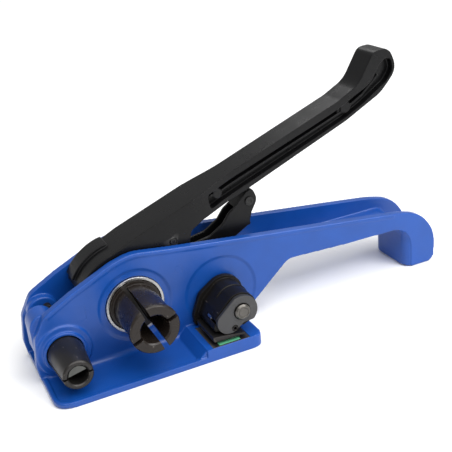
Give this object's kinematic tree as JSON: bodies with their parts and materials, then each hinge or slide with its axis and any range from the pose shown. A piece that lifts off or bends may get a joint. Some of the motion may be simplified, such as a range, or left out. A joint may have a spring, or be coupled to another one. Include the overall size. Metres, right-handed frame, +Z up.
{
  "type": "strapping tensioner",
  "caption": "Hand strapping tensioner: blue cast body with fixed handle, black cranked ratchet lever, split windlass drum, slotted cutter post and sprung strap gripper.",
  "frame": {"origin": "under the windlass axis, in the outer face of the front wall, on the underside of the base", "axes": "+X along the tool towards the end of its handle, +Y from the front wall into the body, +Z up"},
  "size_m": [0.3421, 0.0936, 0.185],
  "materials": {
    "cast_blue": "semi-gloss cobalt blue powder coat",
    "black_steel": "black oxide, semi-gloss",
    "lever_black": "black coated casting, satin",
    "dark_steel": "dark hardened steel, satin",
    "bright_steel": "machined, bright",
    "spring_steel": "drawn spring wire",
    "insert_green": "smooth green plastic"
  },
  "bodies": {
    "base": {"body_casting": "cast_blue", "windlass_front_bearing": "bright_steel", "windlass_rear_bush": "bright_steel", "release_lever_pin": "bright_steel", "release_lever_circlip": "dark_steel", "release_lever_spring": "spring_steel", "cutter_sleeve": "black_steel", "cutter_spring": "spring_steel", "gripper_axle": "bright_steel", "gripper_axle_washer": "bright_steel", "gripper_axle_nut": "bright_steel", "gripper_spring": "spring_steel", "gripper_tray": "black_steel", "tray_insert": "insert_green", "tray_screw_1": "dark_steel", "tray_screw_2": "dark_steel"},
    "windlass": {"windlass_drum": "black_steel", "windlass_circlip": "dark_steel", "ratchet_wheel": "dark_steel", "ratchet_key": "bright_steel"},
    "lever": {"drive_lever": "lever_black", "lever_front_bush": "bright_steel", "lever_rear_bush": "bright_steel", "drive_pawl_pin": "dark_steel", "drive_pawl_spring": "spring_steel"},
    "driving_pawl": {"drive_pawl": "dark_steel"},
    "release": {"release_lever": "lever_black", "release_lever_tail_pin": "dark_steel"},
    "cutter": {"cutter_shaft": "bright_steel", "cutter_arm": "lever_black", "cutter_arm_pin": "bright_steel", "cutter_washer": "bright_steel", "cutter_screw": "dark_steel"},
    "gripper": {"gripper_cam": "black_steel", "gripper_front_plate": "dark_steel", "gripper_roll_pin": "dark_steel", "gripper_stop_pin": "bright_steel", "gripper_shoe": "black_steel"}
  },
  "joints": [
    {"name": "windlass_turn", "type": "hinge", "parent": "base", "child": "windlass", "pos_m": [0, 0, 0.04], "axis": [0, -1, 0], "continuous": true},
    {"name": "lever_swing", "type": "hinge", "parent": "base", "child": "lever", "pos_m": [0, 0, 0.04], "axis": [0, -1, 0], "range_deg": [0, 90]},
    {"name": "drive_pawl_lift", "type": "hinge", "parent": "lever", "child": "driving_pawl", "pos_m": [0.0371, 0.023, 0.0777], "axis": [0, 1, 0], "range_deg": [0, 9], "stiffness_Nm_per_rad": 0.06, "springref_deg": -28.65, "deforming": ["drive_pawl_spring"]},
    {"name": "release_press", "type": "hinge", "parent": "base", "child": "release", "pos_m": [0.036, 0.023, 0.058], "axis": [0, 1, 0], "range_deg": [0, 14], "stiffness_Nm_per_rad": 0.4, "springref_deg": -34.38, "deforming": ["release_lever_spring"]},
    {"name": "cutter_turn", "type": "hinge", "parent": "base", "child": "cutter", "pos_m": [-0.0562, 0, 0.0207], "axis": [0, -1, 0], "range_deg": [0, 24], "stiffness_Nm_per_rad": 0.2, "springref_deg": -22.92, "deforming": ["cutter_spring"]},
    {"name": "gripper_lift", "type": "hinge", "parent": "base", "child": "gripper", "pos_m": [0.0676, -0.02, 0.03], "axis": [0, 1, 0], "range_deg": [0, 35], "stiffness_Nm_per_rad": 0.2, "springref_deg": -22.92, "deforming": ["gripper_spring"]}
  ]
}
